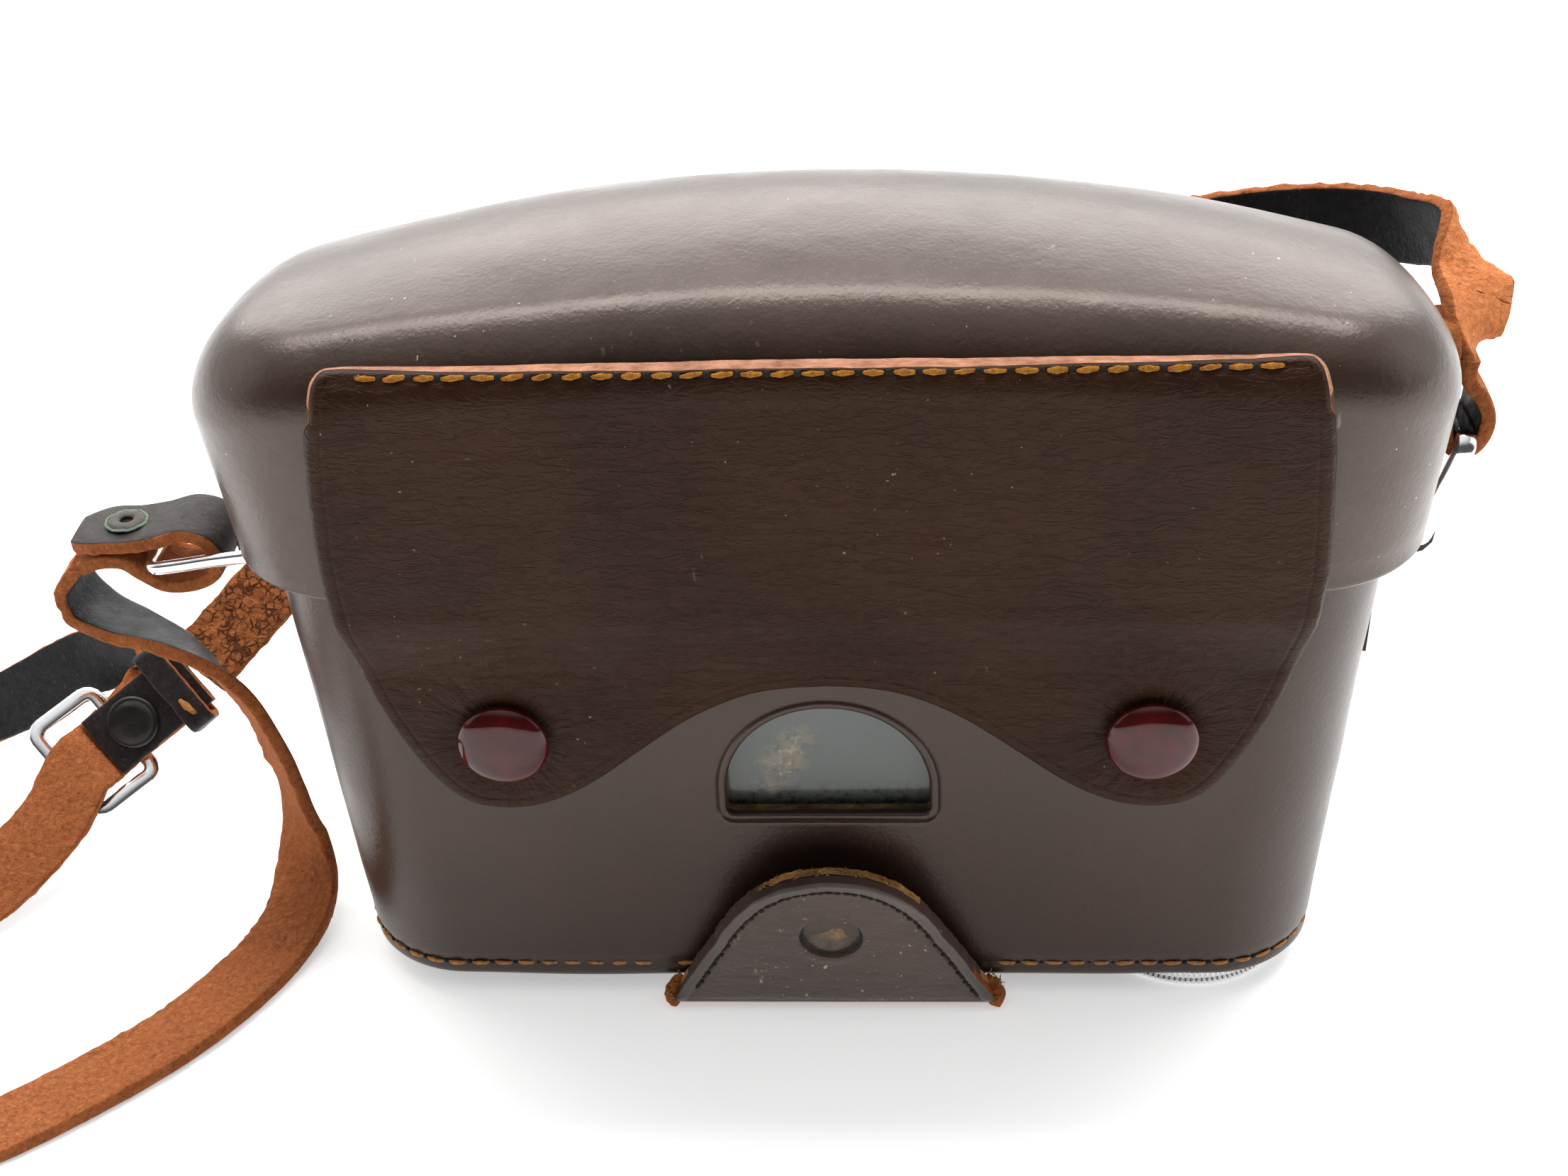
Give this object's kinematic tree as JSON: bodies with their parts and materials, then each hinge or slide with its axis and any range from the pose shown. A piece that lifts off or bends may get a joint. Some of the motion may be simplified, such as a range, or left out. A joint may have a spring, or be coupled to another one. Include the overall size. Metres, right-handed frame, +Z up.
{
  "type": "half frame camera in leather case",
  "caption": "Closed brown leather ever-ready case with snap-down front flap, window, bottom tab and buckled shoulder strap, holding a half frame 35 mm camera.",
  "frame": {"origin": "centre of the left-right width on the flat underside of the leather strip under the case, 26 mm in front of the back face", "axes": "+Z up, away from the resting face; -Y out of the front with the flap, snaps and window; +X to the viewer's right when looking at the front"},
  "size_m": [0.2605, 0.1062, 0.1172],
  "materials": {
    "leather_case": "semi-gloss dark brown moulded leather, fine grain, scuffed corners",
    "leather_flap": "warmer brown polished leather with fine creases, raw tan edge",
    "leather_strap": "suede side orange-brown, smooth side near black",
    "leather_dark": "dark smooth strap leather with raw edges",
    "chrome": "polished nickel-chrome plate",
    "knurled_chrome": "satin chrome with knurled edge",
    "snap_red": "glossy dark red enamel cap",
    "snap_steel": "plated press stud",
    "aged_rivet": "dulled dark rivet head",
    "eyelet": "tarnished eyelet with green bloom",
    "window": "clear sheet, slightly stained by old glue",
    "glass": "coated optical glass",
    "camera_alloy": "satin aluminium",
    "camera_black": "black enamelled alloy",
    "leatherette": "black pebbled covering",
    "film_metal": "printed-metal film cassette, plain yellow",
    "spool_plastic": "black moulded spool",
    "dial": "white counter dial"
  },
  "bodies": {
    "case": {"case_shell": "leather_case", "window_pane": "window", "bottom_strip": "leather_case", "strap_lug_left": "leather_case", "strap_lug_right": "leather_case", "snap_stud_left": "snap_steel", "snap_stud_right": "snap_steel", "back_hinge_leather": "leather_case", "strap_left_curl": "leather_strap", "strap_left_drop": "leather_strap", "strap_left_run": "leather_strap", "strap_tongue": "leather_strap", "strap_right_rise": "leather_strap", "strap_rear_upper": "leather_strap", "strap_rear_lower": "leather_strap", "buckle_strap": "leather_dark", "strap_keeper": "leather_dark", "buckle_rivet": "aged_rivet", "camera_body": "camera_black", "camera_back": "camera_black", "bottom_plate": "camera_alloy", "tripod_bush": "snap_steel", "top_cover": "chrome", "finder_front_glass": "glass", "finder_eyepiece": "glass", "accessory_shoe": "chrome", "leatherette_front": "leatherette", "film_cassette": "film_metal", "film_gate": "camera_black", "pressure_plate": "camera_black", "lens_barrel": "camera_alloy", "front_lens": "glass", "shutter_blades": "camera_black"},
    "lid": {"case_lid": "leather_case", "flap_top_band": "leather_flap"},
    "flap": {"front_flap": "leather_flap", "snap_cap_left": "snap_red", "snap_cap_right": "snap_red"},
    "tab": {"front_tab": "leather_case", "front_tab_lining": "leather_case", "front_tab_rivet": "aged_rivet"},
    "screw": {"retaining_screw": "knurled_chrome"},
    "ring_l": {"ring_left": "chrome", "strap_end_left": "leather_dark", "strap_eyelet_left": "eyelet"},
    "ring_r": {"ring_right": "chrome", "strap_end_right": "leather_dark", "strap_eyelet_right": "eyelet"},
    "buckle": {"buckle_frame": "chrome"},
    "wind": {"wind_knob": "knurled_chrome"},
    "takeup": {"takeup_spool": "spool_plastic"},
    "sprocket": {"sprocket": "chrome"},
    "counter": {"frame_counter_dial": "dial"},
    "rewind": {"rewind_knob": "knurled_chrome"},
    "supply": {"supply_spool": "spool_plastic"},
    "button": {"shutter_button": "chrome"},
    "speed": {"speed_ring": "camera_black"},
    "aperture": {"aperture_ring": "camera_alloy"},
    "focus": {"focus_ring": "camera_alloy", "front_bezel": "camera_black"}
  },
  "joints": [
    {"name": "lid_hinge", "type": "hinge", "parent": "case", "child": "lid", "pos_m": [0, 0.026, 0.0735], "axis": [-1, 0, 0], "range_deg": [0, 110], "deforming": ["back_hinge_leather", "strap_rear_upper", "strap_right_rise", "strap_rear_lower"]},
    {"name": "flap_hinge", "type": "hinge", "parent": "lid", "child": "flap", "pos_m": [0, -0.03766, 0.1034], "axis": [-1, 0, 0], "range_deg": [0, 120]},
    {"name": "tab_hinge", "type": "hinge", "parent": "case", "child": "tab", "pos_m": [0, -0.02855, 0.00135], "axis": [1, 0, 0], "range_deg": [-7, 70], "stiffness_Nm_per_rad": 0.02},
    {"name": "retaining_screw_turn", "type": "hinge", "parent": "case", "child": "screw", "pos_m": [0.0525, -0.009, 0.0014], "axis": [0, 0, 1], "continuous": true},
    {"name": "ring_left_pivot", "type": "hinge", "parent": "case", "child": "ring_l", "pos_m": [-0.0803, 0, 0.0653], "axis": [0, 1, 0], "range_deg": [-30, 30], "stiffness_Nm_per_rad": 0.05, "deforming": ["strap_left_curl", "strap_left_drop"]},
    {"name": "ring_right_pivot", "type": "hinge", "parent": "case", "child": "ring_r", "pos_m": [0.0803, 0, 0.0653], "axis": [0, 1, 0], "range_deg": [-1, 35], "stiffness_Nm_per_rad": 0.05, "deforming": ["strap_right_rise"]},
    {"name": "buckle_pivot", "type": "hinge", "parent": "case", "child": "buckle", "pos_m": [-0.11579, 0.01593, 0.0182], "axis": [0.6376, -0.3863, -0.6666], "range_deg": [-6, 14], "stiffness_Nm_per_rad": 0.02, "deforming": ["strap_left_run", "strap_tongue"]},
    {"name": "wind_turn", "type": "hinge", "parent": "case", "child": "wind", "pos_m": [0.046, 0.0074, 0.09], "axis": [0, 0, 1], "continuous": true},
    {"name": "takeup_turn", "type": "hinge", "parent": "case", "child": "takeup", "pos_m": [0.046, 0.0074, 0.041], "axis": [0, 0, 1], "continuous": true},
    {"name": "sprocket_turn", "type": "hinge", "parent": "case", "child": "sprocket", "pos_m": [0.0308, 0.0142, 0.044], "axis": [0, 0, 1], "continuous": true},
    {"name": "counter_turn", "type": "hinge", "parent": "case", "child": "counter", "pos_m": [0.027, 0.014, 0.088], "axis": [0, 0, 1], "continuous": true},
    {"name": "rewind_turn", "type": "hinge", "parent": "case", "child": "rewind", "pos_m": [-0.046, 0.0074, 0.09], "axis": [0, 0, 1], "continuous": true},
    {"name": "supply_turn", "type": "hinge", "parent": "case", "child": "supply", "pos_m": [-0.046, 0.0074, 0.041], "axis": [0, 0, 1], "continuous": true},
    {"name": "button_press", "type": "slide", "parent": "case", "child": "button", "axis": [0, 0, -1], "range_m": [0, 0.0025], "stiffness_N_per_m": 100},
    {"name": "speed_turn", "type": "hinge", "parent": "case", "child": "speed", "pos_m": [0, -0.009, 0.0445], "axis": [0, -1, 0], "range_deg": [0, 80]},
    {"name": "aperture_turn", "type": "hinge", "parent": "case", "child": "aperture", "pos_m": [0, -0.0125, 0.0445], "axis": [0, -1, 0], "range_deg": [0, 70]},
    {"name": "focus_turn", "type": "hinge", "parent": "case", "child": "focus", "pos_m": [0, -0.0166, 0.0445], "axis": [0, -1, 0], "range_deg": [0, 150]}
  ],
  "couplings": [
    {"joint": "takeup_turn", "follows": "wind_turn", "ratio": 1},
    {"joint": "sprocket_turn", "follows": "wind_turn", "ratio": 1.35},
    {"joint": "counter_turn", "follows": "wind_turn", "ratio": 0.027778},
    {"joint": "supply_turn", "follows": "rewind_turn", "ratio": 1}
  ]
}
